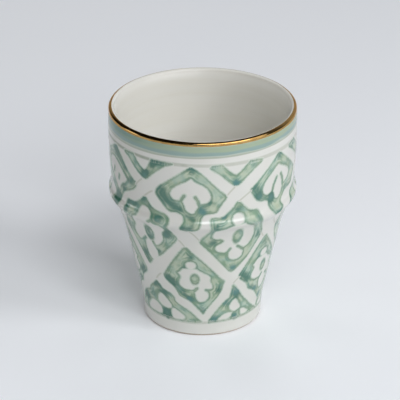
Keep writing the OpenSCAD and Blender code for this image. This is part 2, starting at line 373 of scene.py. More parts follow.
def addPiece(bm, name, finish, slot, *nodes):
    for face in bm.faces:
        face.smooth = True
    for edge in bm.edges:
        if len(edge.link_faces) == 2 and edge.calc_face_angle() > math.radians(sharpAngle):
            edge.smooth = False
    mesh = bpy.data.meshes.new(name)
    bm.to_mesh(mesh)
    bm.free()
    piece = bpy.data.objects.new(name, mesh)
    bpy.context.scene.collection.objects.link(piece)
    mesh.materials.append(finish)
    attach(piece, "root")
    if nodes:
        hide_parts(*nodes)
    print("piece", name, "faces", len(mesh.polygons))


def spunPiece(name, outline, finish, slot, node):
    # turns a closed outline of radius and height round the axis
    bm = bmesh.new()
    ring = [bm.verts.new((r * mm, 0, z * mm)) for r, z in outline]
    sides = [bm.edges.new((a, b)) for a, b in zip(ring, ring[1:] + ring[:1]) if a.co.x > 0 or b.co.x > 0]
    bmesh.ops.spin(bm, geom=ring + sides, cent=(0, 0, 0), axis=(0, 0, 1), angle=math.radians(fullTurn),
                   steps=cupShape["spinSteps"], use_merge=True)
    bmesh.ops.remove_doubles(bm, verts=bm.verts[:], dist=mergeReach)
    bmesh.ops.recalc_face_normals(bm, faces=bm.faces[:])
    addPiece(bm, name, finish, slot, node)


# The clay and its coats of glaze. Places inside the cup are radius and height.
clayParts = {"recess": 1.5, "ringInner": 21.3, "recessFlat": 19.8, "baseBevel": 1.0, "edgeRadius": 0.6,
             "edgeSteps": 5, "bareTop": 0.9}
innerParts = {
    "floor": 6.0, "cornerHeight": 13.0, "cornerRadius": 7.0, "wallAtCorner": 23.64, "cornerSteps": 10,
    "taper": (30.9, 46.0), "taperSteps": 6,
    "shoulderPulls": ((32.76, 55.68), (36.2, 59.98)), "neck": (36.2, 67.5), "shoulderSteps": 14,
    "lipRound": (37.06, 92.85), "neckSteps": 6, "lipPull": (37.35, 97.05), "lipSteps": 8,
}
lipCentre = (cupShape["lip"][1] - cupShape["lipRadius"], cupShape["lip"][0])


def outsideRows(low, high, proud):
    between = outerLine[:, 0]
    heights = np.concatenate(([low], between[(between > low) & (between < high)], [high]))
    return np.column_stack((cupRadius(heights) + proud, heights))


def insideRows(back):
    # the inside from the middle of the floor up to the lip, moved back into the wall
    part = innerParts
    wall, floor = part["wallAtCorner"], part["floor"]
    start = (wall - part["cornerRadius"], floor)
    corner = (wall, part["cornerHeight"])
    end = (lipCentre[0] - cupShape["lipRadius"], lipCentre[1])
    rows = np.vstack([
        [start],
        bend([start, (wall, floor), corner], part["cornerSteps"]),
        bend([corner, part["taper"]], part["taperSteps"]),
        bend([part["taper"], *part["shoulderPulls"], part["neck"]], part["shoulderSteps"]),
        bend([part["neck"], part["lipRound"]], part["neckSteps"]),
        bend([part["lipRound"], part["lipPull"], end], part["lipSteps"]),
    ])
    return np.vstack([[(0, floor - back)], rows + [back, -back]])


def buildBody():
    thick = cupShape["glaze"]
    lip = cupShape["lipRadius"]
    edge, edgeSteps = clayParts["edgeRadius"], clayParts["edgeSteps"]
    flat, recess = clayParts["recessFlat"], clayParts["recess"]
    bareTop = clayParts["bareTop"]
    footRadius = cupShape["footEdge"][1] - thick
    coatBack = outsideRows(bareTop, lipCentre[1], -thick)
    clay = np.vstack([
        [(0, recess), (flat, recess)],
        arcAround((clayParts["ringInner"] + edge, edge), edge, 180, 270, edgeSteps),
        arcAround((footRadius - edge, edge), edge, 270, 360, edgeSteps),
        coatBack,
        arcAround(lipCentre, lip - thick, 0, 180),
        insideRows(thick)[::-1],
    ])
    spunPiece("clayBody", clay, bareClay, "clay", "clay_body")
    outer = np.vstack([
        outsideRows(bareTop, lipCentre[1], 0),
        arcAround(lipCentre, lip, 0, 90),
        arcAround(lipCentre, lip - thick, 90, 0),
        coatBack[::-1],
    ])
    spunPiece("outerGlaze", outer, whiteGlaze, "white_glaze", "outer_glaze")
    inner = np.vstack([
        insideRows(0),
        arcAround(lipCentre, lip, 180, 90),
        arcAround(lipCentre, lip - thick, 90, 180),
        insideRows(thick)[::-1],
    ])
    spunPiece("innerGlaze", inner, innerWhiteAndPaintedLight, "white_glaze", "inner_glaze")
    base = [(0, recess - thick), (flat - clayParts["baseBevel"], recess - thick), (flat, recess - thick / 2),
            (flat, recess), (0, recess)]
    spunPiece("baseGlaze", base, whiteGlaze, "white_glaze", "base_glaze")


buildBody()

# Painted films start as flat sheets whose corners keep what the brush left there
filmThickness = 0.05
ringSteps = 360
handWaves = (2, 5, 9, 16, 27)  # waves in a full turn of a ring that a hand drew


def waver(turns, seed, size):
    # an uneven hand along a ring, the same after a full turn
    dice = np.random.default_rng(seed)
    total = np.zeros_like(turns)
    for count in handWaves:
        total += np.sin(np.radians(turns) * count + dice.uniform(0, math.tau)) / math.sqrt(count)
    return total * size / 2


def newFilm():
    bm = bmesh.new()
    return bm, bm.verts.layers.float_vector.new("brush")


def flatSheet(bm, columns, rows, place=Matrix()):
    corners = bmesh.ops.create_grid(bm, x_segments=columns, y_segments=rows, size=1, matrix=place)["verts"]
    return corners, np.array([corner.co[:2] for corner in corners])


def fromAxis(corner):
    return Vector((corner.co.x, corner.co.y, 0)).normalized()


def thickenFilm(bm, thickness, away=fromAxis):
    # gives a painted sheet its thickness, outwards from the wall
    raised = bmesh.ops.extrude_face_region(bm, geom=bm.faces[:], use_keep_orig=True)["geom"]
    for corner in raised:
        if isinstance(corner, bmesh.types.BMVert):
            corner.co += away(corner) * thickness * mm
    bmesh.ops.recalc_face_normals(bm, faces=bm.faces[:])


# The gold reaches down from the level where the lip starts to round, and over the lip along its round.
# It is broader at the sides and narrower at the back than in front.
goldParts = {"down": -0.62, "sidesDown": -0.12, "over": 1.5, "sidesOver": 0.6, "backOver": -0.3, "waver": 0.1,
             "seeds": (3, 4), "rows": 14, "thickness": 0.045}


def buildGold():
    bm, brush = newFilm()
    away = bm.verts.layers.float_vector.new("away")
    corners, flat = flatSheet(bm, ringSteps, goldParts["rows"])
    turns = flat[:, 0] * fullTurn / 2
    sideways = np.sin(np.radians(turns)) ** 2
    backwards = (1 - np.cos(np.radians(turns))) / 2
    low = goldParts["down"] + goldParts["sidesDown"] * sideways
    low = low + waver(turns, goldParts["seeds"][0], goldParts["waver"])
    high = goldParts["over"] + goldParts["sidesOver"] * sideways + goldParts["backOver"] * backwards
    high = high + waver(turns, goldParts["seeds"][1], goldParts["waver"])
    along = low + (flat[:, 1] + 1) / 2 * (high - low)
    lip = cupShape["lipRadius"]
    leans = np.clip(along, 0, None) / lip
    radius = np.where(along < 0, cupRadius(lipCentre[1] + along), lipCentre[0] + lip * np.cos(leans))
    height = lipCentre[1] + np.where(along < 0, along, lip * np.sin(leans))
    edges = np.minimum(along - low, high - along)
    places = aroundAxis(turns, radius, height) * mm
    ways = aroundAxis(turns, np.cos(leans), np.sin(leans))
    for corner, place, way, edge in zip(corners, places, ways, edges):
        corner.co = place
        corner[away] = way
        corner[brush] = (edge, 0, 0)
    bmesh.ops.remove_doubles(bm, verts=bm.verts[:], dist=mergeReach)
    thickenFilm(bm, goldParts["thickness"], lambda corner: corner[away])
    bm.verts.layers.float_vector.remove(away)
    addPiece(bm, "goldRim", goldLustre, "gold", "gold_rim")


buildGold()

# Painted rings, from low to high in mm. The tilt lifts the lower edge on the right, and the colour is deepest
# at a turn and within a reach of degrees. The band is thin, as the gold overlaps it.
rimBand = {"low": 92.45, "high": 98.5, "tilt": 0.5, "waver": 0.14, "seeds": (11, 61), "rows": 16,
           "thickness": 0.03, "deepest": -62, "reach": 28}
neckLine = {"low": 88.35, "high": 90.85, "tilt": -0.25, "waver": 0.16, "seeds": (12, 62), "rows": 8,
            "thickness": filmThickness, "deepest": -62, "reach": 48}
footLine = {"low": 5.7, "high": 7.9, "tilt": 0, "waver": 0.2, "seeds": (13, 63), "rows": 8,
            "thickness": filmThickness, "deepest": -62, "reach": 42}


def buildRing(name, ring, finish, slot, node):
    bm, brush = newFilm()
    corners, flat = flatSheet(bm, ringSteps, ring["rows"])
    turns = flat[:, 0] * fullTurn / 2
    shares = (flat[:, 1] + 1) / 2
    lift = ring["tilt"] * np.sin(np.radians(turns))
    low = ring["low"] + lift + waver(turns, ring["seeds"][0], ring["waver"])
    high = ring["high"] + waver(turns, ring["seeds"][1], ring["waver"] / 2)
    heights = low + shares * (high - low)
    edges = np.minimum(heights - low, high - heights)
    darks = np.exp(-((turns - ring["deepest"]) / ring["reach"]) ** 2)
    for corner, place, *stroke in zip(corners, onCup(turns, heights), edges, shares, darks):
        corner.co = place
        corner[brush] = stroke
    bmesh.ops.remove_doubles(bm, verts=bm.verts[:], dist=mergeReach)
    thickenFilm(bm, ring["thickness"])
    addPiece(bm, name, finish, slot, node)


buildRing("rimBand", rimBand, bandWash, "teal_paint", "rim_band")
buildRing("neckLine", neckLine, paleLine, "pale_paint", "neck_line")
buildRing("footLine", footLine, paleLine, "pale_paint", "foot_line")

# Drawings of the painted panels. Places are degrees from the panel's own middle and mm above the table.
# Whites and ovals stay bare, and eyes and strokes are painted on them. Ovals and eyes are a place with half
# a width in degrees and half a height in mm. Pools, blues and pales are a place, its reach in mm and its
# strength.
palmette = {
    "middle": (-7.5, 74.3),
    "outline": [
        (1.2, 88.7), (7.5, 85.4), (13.5, 80.9), (18, 77.6), (22, 74.6), (19.5, 71.6), (17, 68.8),
        (15.5, 67.3), (9.5, 66.6), (6.8, 64.8), (6.2, 62.5), (5, 59.9), (1.5, 58.6), (-5.5, 58.6),
        (-6.4, 59.9), (-5.2, 61.7), (-4, 63.3), (-5, 65.7), (-8.5, 67), (-13.5, 67.2), (-18.5, 71.1),
        (-22, 74.9), (-19.5, 78.2), (-16.5, 79.9), (-8, 84.4), (-1.5, 88)],
    "whites": [
        [(0.6, 83.6), (3.5, 82), (7.5, 80.6), (10.5, 78.8), (12.5, 75.9), (12.3, 73.5), (10, 72), (6, 71.3),
         (4.6, 69.8), (3.5, 68.3), (2, 66.8), (-1, 67.1), (-3.2, 68.9), (-4.5, 71.8), (-6.5, 72.7),
         (-10, 73), (-12.2, 74.7), (-12.2, 76.6), (-10, 78.8), (-6.5, 80.6), (-2, 82.4)],
    ],
    "strokes": [[(-6, 71.9), (-5, 73.9), (-3.4, 75.4)], [(5.6, 70.9), (4.6, 73.1), (3, 74.9)]],
    "pools": [
        (1, 87.4, 2.6, 0.8), (-18, 76.5, 3.5, 0.9), (-15.5, 72.6, 3, 0.8), (-11.8, 70.4, 2.4, 0.5),
        (-8.5, 69.3, 2.6, 0.9), (-5.5, 68.1, 1.8, 0.4), (7.5, 68.7, 2.8, 0.7), (12.5, 72.1, 2.4, 0.7),
        (1.2, 64.6, 2.5, 0.9), (-2.5, 66, 1.8, 0.5), (-0.5, 60.2, 2.3, 1), (-5, 60, 1.6, 0.9)],
    "blues": [(7.5, 68.1, 2.3, 0.8), (-8.5, 68.9, 1.6, 0.4), (1.5, 87, 1.5, 0.4)],
    "pales": [
        (-7, 83.8, 3.2, 0.8), (-12, 80.6, 2, 0.4), (7, 84, 2.6, 0.7), (12, 80.4, 2.6, 0.7),
        (-1.5, 62.3, 1.6, 0.8), (14, 69.1, 1.8, 0.8), (16.5, 76, 2.6, 0.6)],
}
palmetteRight = {
    "middle": (-7.5, 74.3),
    "outline": [
        (0, 88.7), (5.5, 85.9), (11.5, 82.4), (17.5, 78.9), (22, 75.3), (19.5, 71.8), (17.5, 69.3),
        (9.5, 68.7), (6, 66.8), (3.7, 64.6), (4.8, 61.8), (2, 59.5), (-1.5, 59.5), (-4, 61.1), (-6.5, 63.3),
        (-8, 65.5), (-9, 67.8), (-11.5, 68.6), (-15, 68.9), (-18, 70.3), (-20.5, 72.8), (-22.5, 75.7),
        (-21, 76.9), (-16.5, 79.4), (-10.5, 82.9), (-4.5, 86.4)],
    "whites": [
        [(-1, 83.3), (3, 82.1), (8, 80.2), (11.8, 77.9), (12.1, 75.6), (10.1, 73.7), (7, 72.9), (5.1, 72.3),
         (4.1, 69.9), (2.5, 67.9), (0, 66.7), (-2.5, 67.7), (-4.1, 70.7), (-6, 71.3), (-9, 70.8),
         (-11.7, 71.3), (-13.5, 73.3), (-13.1, 75.6), (-10.9, 78), (-6.5, 80.6)],
    ],
    "strokes": [[(-5.3, 71.3), (-4.3, 74.3), (-1.7, 77.4)], [(5.1, 72.3), (4.5, 75.3), (2.5, 78)]],
    "pools": [
        (0, 87.2, 2.6, 0.9), (-19.5, 75.9, 2.4, 0.7), (-16, 71.5, 3, 1.1), (-6, 69.9, 2.2, 1),
        (-5.5, 66.8, 2.2, 0.9), (0, 60.7, 2.2, 0.9), (8.5, 70.1, 2.4, 0.7), (14, 71.8, 2.4, 0.5)],
    "blues": [(-15.5, 71.3, 2, 0.6), (-6, 68.9, 1.8, 0.6)],
    "pales": [(-6, 84.4, 2.4, 0.7), (6.5, 84.4, 2.6, 0.8), (-2, 63.3, 2, 0.8), (16, 76.4, 2.4, 0.5)],
}
palmetteLeft = {
    "middle": (-7.5, 74.3),
    "outline": [
        (4, 89), (6.5, 87.6), (9.5, 85.6), (13.5, 82.6), (17.5, 79.6), (21, 77.6), (24, 76.2), (23, 74.5),
        (21, 72.8), (18, 71.5), (14.5, 70.3), (11.5, 69), (9.5, 67.4), (8, 65.5), (6.5, 63), (4.5, 61.2),
        (2, 59.6), (-2, 58.6), (-6, 58.4), (-6.5, 60), (-4.5, 62), (-1.8, 64.2), (-1.5, 66.2), (-5, 68),
        (-9, 69.5), (-13, 71.3), (-16.5, 74), (-18, 76), (-15.5, 79.2), (-12.5, 82), (-8.5, 84.7),
        (-4, 86.5), (1, 88.4)],
    "whites": [
        [(-0.5, 82.6), (4.5, 81.5), (8.5, 79.5), (12, 77.6), (14.7, 75.8), (13, 73.8), (9.5, 72.3),
         (7, 70.5), (5.5, 68.4), (2.5, 69.3), (0, 71.3), (-2.5, 73.2), (-5.5, 74.6), (-7.8, 77), (-7.2, 80),
         (-4.5, 82)],
    ],
    "strokes": [[(-1.5, 75.4), (-0.5, 77.6)], [(5, 73.4), (6, 75.6)]],
    "pools": [
        (2.5, 87, 3, 1), (8, 84, 2.6, 0.7), (13.5, 80.8, 2.6, 0.7), (19, 76, 2.8, 1), (11, 70.6, 2.4, 0.9),
        (3.5, 65.2, 3, 1.4), (1, 62, 2.6, 0.8), (-4, 70.3, 2.4, 0.7), (-6, 84.3, 2.4, 0.6)],
    "blues": [(2.5, 88, 2, 0.4), (19, 76.3, 2, 0.5)],
    "pales": [(17, 79, 1.2, 0.4)],
}
beltFlower = {
    "middle": (22.5, 52.7),
    "outline": [
        (-0.5, 71.6), (3.5, 68.8), (7.5, 66.3), (13, 65.4), (14.6, 63.3), (16.7, 59.6), (19.3, 55.7),
        (21.7, 51.8), (20.3, 48.4), (16.7, 44.6), (12.5, 40.5), (7.5, 37.2), (3.5, 34.9), (1.2, 33.9),
        (-1.8, 34.4), (-5.5, 37), (-10.5, 40.7), (-16.5, 45.2), (-21.5, 48.7), (-24.2, 51), (-24, 52.8),
        (-21.5, 54.9), (-18.3, 57.5), (-17.3, 59.3), (-17.6, 62.3), (-17.2, 64.6), (-10.5, 64.9),
        (-7.5, 66.3), (-3.5, 69)],
    "whites": [
        [(-4.5, 60.6), (-9.5, 59), (-14.5, 58.2), (-15.9, 56.3), (-16, 54.3), (-14.3, 53.1), (-10.3, 52.7),
         (-8.3, 51.7), (-9.5, 50.6), (-12.5, 49.5), (-13.9, 48.2), (-13.5, 46.8), (-11.3, 45.6), (-7.3, 45),
         (-4.2, 44.8), (-3.6, 42.4), (-1.5, 40.7), (2.5, 40.2), (6.5, 41.2), (8, 43.5), (7.7, 45.6),
         (11.3, 47.2), (13.5, 49.6), (14.4, 52.2), (13.5, 54.9), (12, 57.3), (9.5, 58.8), (5.5, 60.3),
         (3.5, 61.3)],
    ],
    "ovals": [(-0.4, 63.3, 4.2, 3)],
    "strokes": [[(-5, 44.6), (-2.8, 46.6)], [(8.4, 44.8), (5.5, 46.4), (2.7, 47.6)]],
    "eyes": [(1.5, 53.4, 3.5, 4.1)],
    "pools": [
        (-15.5, 51.2, 2.6, 0.9), (-14, 60.7, 1.8, 0.8), (1, 35.8, 2.8, 0.7), (-9.5, 64.9, 1.6, 1),
        (-0.5, 67.9, 2, 0.6), (19, 51.2, 3, 0.6), (13.5, 61.8, 2.4, 0.7), (9.5, 42.7, 2.2, 0.35),
        (8, 65.5, 1.4, 0.6), (0, 50.4, 1.4, 0.5), (-0.8, 54.8, 1.2, 0.6)],
    "blues": [(1.2, 35.8, 2.6, 0.7), (-9.8, 64.9, 1.4, 0.6), (-16.5, 50.8, 1.4, 0.3)],
    "pales": [
        (8.5, 62.3, 2.4, 0.8), (0, 39, 2.2, 0.6), (-9, 41.7, 2.2, 0.6), (-10, 60.3, 1.6, 0.4),
        (2.2, 53.2, 1, 0.5)],
}
beltFlowerLeft = {
    "middle": (22.5, 52.7),
    "outline": [
        (0.2, 71.4), (3, 68.9), (6.5, 66.6), (13.5, 65.3), (16.5, 63.8), (16.7, 61.3), (15.2, 59.1),
        (17.5, 55.8), (20, 52.6), (16, 48.7), (11, 45.2), (7, 42.4), (4.8, 41.2), (3, 40.6), (-2, 38.6),
        (-7.8, 34.6), (-10.5, 36.4), (-15, 41.2), (-19.5, 45.2), (-24.5, 49.2), (-26, 51.7), (-22.5, 55.3),
        (-18.5, 60.3), (-16.8, 64.3), (-15, 66.5), (-8.5, 66.9), (-3.8, 69)],
    "whites": [
        [(-0.5, 66.9), (2.7, 65.9), (4.5, 63.8), (4.5, 61.5), (6, 59.6), (10.5, 58.7), (12.4, 56.6),
         (10, 54.3), (9.8, 51.2), (8.2, 48.8), (4.5, 46.6), (1.5, 46.4), (0.2, 47.8), (1.2, 45.2),
         (3, 42.9), (2.6, 39.8), (-2.5, 37.4), (-6, 39.4), (-7.6, 43.2), (-7.7, 46.2), (-6.8, 47.8),
         (-8.1, 48.4), (-10, 47.2), (-13, 46.6), (-16.5, 49), (-16.1, 51.6), (-12.8, 54.8), (-12.8, 57.5),
         (-9.5, 60.3), (-6.1, 61.7), (-5.1, 63.9), (-3.3, 66.3)],
    ],
    "strokes": [[(4.5, 60.9), (2.5, 60)], [(1.5, 45.7), (0, 47.6)], [(-7.6, 47.6), (-6.2, 48.8)]],
    "eyes": [(-1, 52.7, 3.5, 4.2)],
    "pools": [
        (-13, 65.9, 2.2, 1.1), (-9, 65.9, 2, 1), (-1, 70.3, 2.2, 0.9), (3.5, 67.5, 2, 0.7),
        (9.5, 62.7, 3.3, 0.8), (13, 53.2, 2.4, 1), (15, 56.5, 2, 0.7), (4, 43.2, 1.9, 1),
        (-10, 40.2, 3, 0.9), (-8.6, 36.8, 2, 0.5), (-15.8, 62.3, 2.2, 0.8), (-22.5, 50.7, 3, 0.7),
        (-1.5, 50.4, 2, 0.9), (-1.2, 54.4, 2.2, 0.8)],
    "blues": [(9.5, 62.3, 1.9, 0.6), (12.5, 53.2, 1.8, 0.5), (-11, 65.7, 1.6, 0.5)],
    "pales": [(-12, 63.9, 1.4, 0.7), (8.5, 65.9, 1.2, 0.6), (-18, 44.7, 2, 0.5), (14, 48.8, 1.6, 0.5)],
}
lowerFlower = {
    "middle": (-6.5, 30.1),
    "outline": [
        (-5.5, 48.1), (-1.5, 45.6), (6.5, 40.6), (14.5, 35.3), (20.5, 31.1), (24.4, 29), (23.5, 27.3),
        (22.5, 24.5), (19.5, 21.1), (14.5, 17.4), (9.5, 13.6), (7, 11.5), (4.5, 13), (-3.5, 17.9),
        (-7.5, 19.4), (-13.5, 21), (-15, 22.7), (-18, 25.4), (-24.5, 28.5), (-26, 30.6), (-23.5, 33.3),
        (-15.5, 40.7), (-9.5, 45.8)],
    "whites": [
        [(-6.8, 36.6), (-9.2, 36.4), (-11.7, 34.6), (-13.5, 33.7), (-11.2, 31.7), (-12.8, 29.5),
         (-12.9, 27.5), (-11, 26), (-7.5, 25), (-3.5, 24.8), (-0.6, 24.7), (-0.2, 22.5), (0.7, 20.1),
         (3, 18.4), (5.5, 18.1), (9.5, 18.9), (11.9, 21.1), (11.4, 23.3), (9.8, 25), (14, 25.3),
         (14.8, 27.1), (13.5, 29.1), (12.8, 30.5), (13, 32), (11, 33.3), (7.5, 34.4), (4, 35.8), (1, 36.8)],
    ],
    "ovals": [(-2.5, 38.3, 4.4, 2.3)],
    "strokes": [[(-0.8, 24.1), (2, 25.9)], [(9.4, 25), (12.2, 24.7)]],
    "eyes": [(0.3, 30.9, 3.6, 2.9)],
    "pools": [
        (-22, 30.3, 2.8, 1), (-18, 27.1, 2.4, 0.9), (-9.5, 22.3, 2.2, 0.8), (-4.5, 19.7, 2.2, 0.9),
        (7, 14.4, 2.2, 0.8), (-2, 42, 1.8, 0.7), (-8.5, 37, 1.6, 0.7), (20.5, 27.3, 2.6, 0.5),
        (19.5, 23.9, 2, 0.7), (-3.5, 44.2, 1.8, 0.4), (2.8, 28.9, 1.1, 0.6), (-1.4, 32.7, 1.1, 0.6)],
    "blues": [(-4.8, 19.5, 1.8, 0.8), (7, 14.4, 2, 0.7), (-10, 22.5, 1.5, 0.4)],
    "pales": [
        (16.5, 29.1, 2.4, 0.8), (11.5, 17.1, 2.2, 0.9), (-13, 39.2, 2.4, 0.6), (5.5, 39.2, 2.2, 0.6),
        (-17, 33.6, 2, 0.6), (-3.5, 23.5, 1.6, 0.6), (0.5, 31.1, 0.9, 0.6)],
}
footFlower = {
    "middle": (28, 14),
    "outline": [
        (-1.8, 26.1), (2, 23.8), (5, 21.7), (8, 19.2), (12, 16.7), (16, 14.7), (20, 12.5), (24, 10.8),
        (28, 9.2), (32, 8.1), (32, 7), (20, 6.9), (8, 6.9), (-6, 6.9), (-16, 6.9), (-23.2, 6.7),
        (-19.6, 9.9), (-15.6, 12.8), (-11.7, 15.5), (-7.8, 17.9), (-4, 19.6), (-3.2, 22), (-2.6, 24.4)],
    "whites": [
        [(2, 18.2), (4.8, 16.8), (8.3, 13.9), (9.2, 12.2), (6, 11.2), (2, 10.9), (-1.8, 12.1), (-3.5, 14.2),
         (-1.8, 16.5)],
        [(-13.8, 8.1), (-9, 10.4), (-4, 11.1), (0.6, 10.7), (0.9, 9), (-4, 7.5), (-10, 7.4)],
        [(9.8, 11.3), (14, 11.1), (18, 9.7), (20.4, 8.5), (17, 7.6), (11, 7.8), (9.4, 9.4)],
    ],
    "eyes": [(4, 8.6, 4.2, 2.3)],
    "pools": [
        (1, 22, 3.2, 0.9), (4, 18.8, 2.2, 0.6), (-18, 8.6, 2.8, 0.9), (-6, 16.6, 2.2, 0.6),
        (4, 8.2, 2.6, 1), (24, 9.5, 2, 0.4)],
    "blues": [(1.5, 22.5, 3, 0.8), (-17, 9, 2.4, 0.7), (-6.5, 16.4, 2, 0.5), (4, 8.4, 2, 0.7)],
    "pales": [(-12, 12.5, 1.6, 0.5), (14, 13.6, 2, 0.5), (9.5, 8.8, 1.6, 0.8), (26, 9, 2, 0.5)],
}
# the same flower in a panel whose right corner is cut short
footFlowerNarrow = dict(footFlower, outline=(
    footFlower["outline"][:6] + [(20, 12), (23.5, 8.6), (24, 6.9)] + footFlower["outline"][12:]))
footFlowerLeft = {
    "middle": (28, 14),
    "outline": [
        (-10, 25.8), (-6.8, 24.6), (-4, 22.7), (0, 21.9), (4, 20.9), (6.4, 19.3), (7.4, 17.2), (10.5, 15.8),
        (14, 14.7), (18, 13.4), (22, 11.7), (28, 8.6), (30.5, 7), (14, 6.9), (-4, 6.9), (-20, 6.9),
        (-36, 6.9), (-43, 7), (-42.5, 9.3), (-38, 12.6), (-34, 15), (-28, 17.5), (-22, 19), (-19, 21.4),
        (-14, 23.7)],
    "whites": [
        [(-7.5, 19.8), (-4, 19), (-0.3, 17.1), (2.9, 14.6), (2.4, 12.7), (-1, 12.1), (-5, 12), (-9.7, 13.1),
         (-12.5, 15.2), (-11.2, 18.1)],
        [(-29.8, 9.2), (-25, 12.2), (-20, 13.9), (-14, 13.4), (-9.4, 11.5), (-8.8, 9.5), (-11, 7.7),
         (-20, 7.4), (-28, 7.6)],
        [(1.2, 10), (1.9, 12.5), (5, 13.2), (10, 12), (15.4, 9.7), (14.8, 7.9), (8, 7.2), (2.8, 7.6)],
    ],
    "eyes": [(-3.5, 9.2, 4.8, 2.9)],
    "pools": [
        (-11, 24.2, 2.8, 1), (-3, 20.7, 2.6, 0.9), (-3.5, 9, 3, 1.4), (-28, 14.6, 3.4, 0.7),
        (-20, 18.6, 3, 0.5), (-33, 13, 3, 0.6), (13, 12.8, 2, 0.5), (22, 8.2, 2, 0.5)],
    "blues": [(-3.5, 9.6, 1.6, 0.4), (-12, 24.2, 1.8, 0.3)],
    "pales": [(18, 9.2, 2, 0.8), (10.5, 14.3, 2, 0.7), (-15, 20.4, 1.6, 0.5)],
}
topTriangle = {
    "middle": (21, 85.4),
    "outline": [
        (-15.2, 89.4), (-10, 84.9), (-3.6, 80.5), (-0.8, 79.3), (2.2, 80.2), (6, 82.6), (11, 85.4),
        (16, 89.3)],
    "whites": [[(-9, 90.6), (-8.2, 89), (-5, 86.5), (-1.3, 84.5), (1, 85), (5, 87.6), (7.8, 90.6)]],
    "pools": [(-0.8, 80.6, 1.8, 0.8), (11, 87.8, 3, 0.5)],
    "blues": [(-0.8, 80.4, 1.8, 0.9)],
    "pales": [(-11, 87, 2.6, 0.8), (5, 84, 1.6, 0.6)],
}
topTriangleLeft = {
    "middle": (21, 85.4),
    "outline": [
        (-13.5, 89.6), (-10.5, 87), (-7, 84.5), (-3, 82), (0.5, 80.4), (2.8, 80), (5, 81.2), (8, 83.4),
        (12, 85.8), (16, 88), (19.5, 89.8)],
    "whites": [
        [(-6.2, 91), (-4.8, 88.2), (-2.2, 86), (0.2, 84.7), (2, 84.2), (3.5, 84.9), (5, 86.8), (6.2, 89),
         (6.6, 91)],
    ],
    "pools": [
        (1.5, 82, 2.2, 1), (3.5, 83.5, 1.8, 0.8), (8.5, 88.8, 2.4, 1), (13, 89.2, 2, 0.8),
        (7.5, 86.5, 2, 0.5)],
    "blues": [(2, 81.5, 1.6, 0.6)],
    "pales": [(12, 86.8, 1.4, 0.6), (-8, 87.5, 1.8, 0.7)],
}

# How a panel is painted, in mm. The edge ripples by waves across, waves up and a size, and shivers by waves
# and a size.
panelBrush = {"step": 0.42, "margin": 1.2, "stroke": 1.1, "grow": 0.64, "ripple": (1.9, 1.6, 0.08),
              "shiver": (3.1, 0.05)}
# How the edge of its mesh is moved onto the drawn edge
edgeFit = {"tries": 2, "probe": 0.05, "leastSlope": 0.3}
nearZero = 1e-9  # stands in for a length of nothing, which can't divide


def loopThrough(points, steps=7):
    # a smooth closed curve through the points
    here = np.array(points, float)
    before, after, later = np.roll(here, 1, 0), np.roll(here, -1, 0), np.roll(here, -2, 0)
    curve = []
    for t in np.linspace(0, 1, steps, endpoint=False):
        square = (2 * before - 5 * here + 4 * after - later) * t ** 2
        cube = (3 * here - before - 3 * after + later) * t ** 3
        curve.append((2 * here + (after - before) * t + square + cube) / 2)
    return np.stack(curve, 1).reshape(-1, 2)


def gapTo(places, starts, ends):
    # mm from each place to the nearest of some straight stretches
    run = ends - starts
    offset = places[:, None] - starts
    share = np.clip((offset * run).sum(-1) / np.maximum((run ** 2).sum(-1), nearZero), 0, 1)
    return np.sqrt(((offset - share[..., None] * run) ** 2).sum(-1)).min(1)


def depthInside(places, loop):
    # mm inside a closed loop, less than zero outside it
    ends = np.roll(loop, -1, 0)
    x, z = places[:, None, 0], places[:, None, 1]
    spans = (loop[:, 1] > z) != (ends[:, 1] > z)
    rise = np.where(ends[:, 1] == loop[:, 1], nearZero, ends[:, 1] - loop[:, 1])
    crossed = spans & (x < (ends[:, 0] - loop[:, 0]) * (z - loop[:, 1]) / rise + loop[:, 0])
    gap = gapTo(places, loop, ends)
    return np.where(crossed.sum(1) % 2 == 1, gap, -gap)


def depthInOval(places, oval):
    x, z, halfX, halfZ = oval
    return (1 - np.hypot((places[:, 0] - x) / halfX, (places[:, 1] - z) / halfZ)) * min(halfX, halfZ)


def blots(places, spots):
    total = np.zeros(len(places))
    for x, z, reach, strength in spots:
        total += strength * np.exp(-((places[:, 0] - x) ** 2 + (places[:, 1] - z) ** 2) / reach ** 2)
    return total


def mmPerDegree(height):
    return math.radians(1) * float(cupRadius(height))


